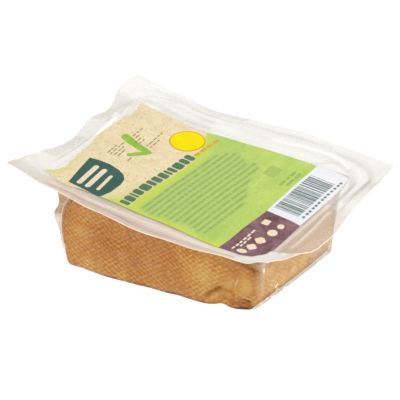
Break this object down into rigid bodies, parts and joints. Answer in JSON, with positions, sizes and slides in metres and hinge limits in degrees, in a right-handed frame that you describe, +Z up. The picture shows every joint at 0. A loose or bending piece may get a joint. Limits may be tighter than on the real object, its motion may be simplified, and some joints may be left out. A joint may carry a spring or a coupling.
{
  "type": "sealed pack of smoked tofu",
  "caption": "Wedge-shaped block of smoked tofu sealed in a clear film pocket under a printed lid film with a wide curled flange.",
  "frame": {"origin": "on the floor under the middle of the pack's box, between the flange's outer edges", "axes": "+X along the pack, +Y across it from the front edge to the back edge, +Z up"},
  "size_m": [0.1383, 0.105, 0.0552],
  "materials": {
    "smoked_tofu": "moist satin skin of smoked soy curd, orange brown, with the weave of the pressing cloth",
    "clear_film": "clear glossy heat-sealed film, faintly grey and streaked where two layers are sealed",
    "print_green": "bright leaf-green ink under glossy film",
    "print_cream": "speckled cream and pale green ink under glossy film",
    "print_plum": "dark plum ink under glossy film",
    "print_white": "white ink under glossy film",
    "print_dark_green": "dark green ink under glossy film",
    "print_yellow": "yellow ink under glossy film"
  },
  "bodies": {
    "root": {"tofu_pocket": "smoked_tofu", "lid_film": "clear_film"}
  },
  "joints": []
}
